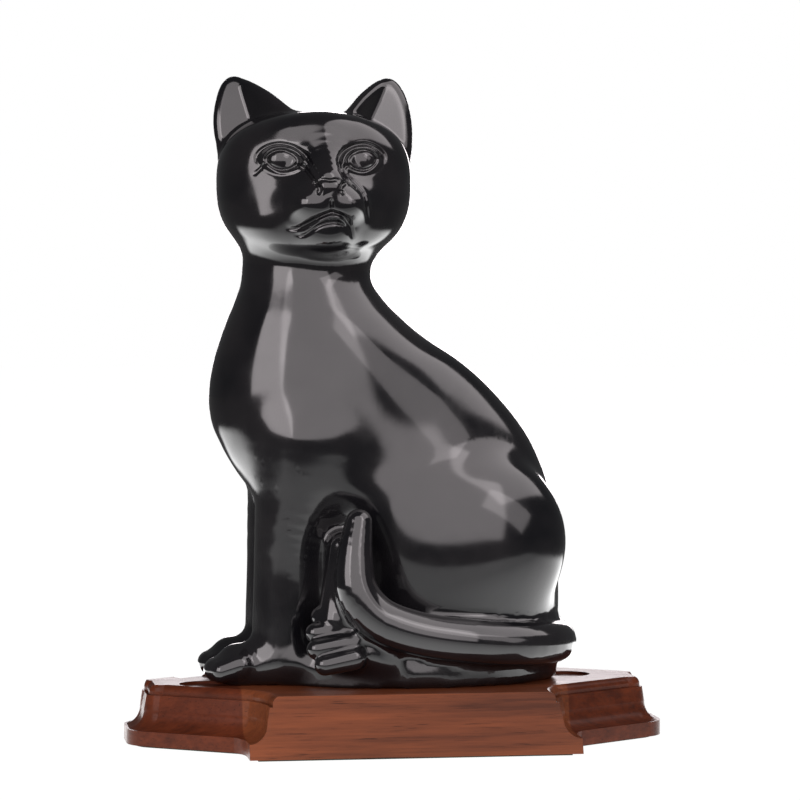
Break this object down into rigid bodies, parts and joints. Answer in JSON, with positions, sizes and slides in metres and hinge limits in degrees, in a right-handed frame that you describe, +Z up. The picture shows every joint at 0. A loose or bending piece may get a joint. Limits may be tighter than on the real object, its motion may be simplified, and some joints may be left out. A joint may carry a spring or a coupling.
{
  "type": "cat figurine on plinth",
  "caption": "Sitting cat figure in glossy black glaze, its head turned to the front, on a moulded walnut plinth.",
  "frame": {"origin": "under the middle of the plinth, on the surface that its felt rests on", "axes": "+Z up; -Y the front, where the face looks and the plinth has its plain face; -X where the chest and forepaws point"},
  "size_m": [0.24, 0.145, 0.2962],
  "materials": {
    "glaze": "high gloss black",
    "walnut": "satin lacquer",
    "felt": "baize",
    "plaster": "cast plaster",
    "insert_brass": "turned",
    "screw_steel": "zinc plated"
  },
  "bodies": {
    "root": {"cat_figure": "glaze", "wooden_plinth": "walnut", "felt_base": "felt", "plaster_plug": "plaster", "threaded_inserts": "insert_brass", "fixing_screws": "screw_steel", "screw_washers": "screw_steel"}
  },
  "joints": []
}
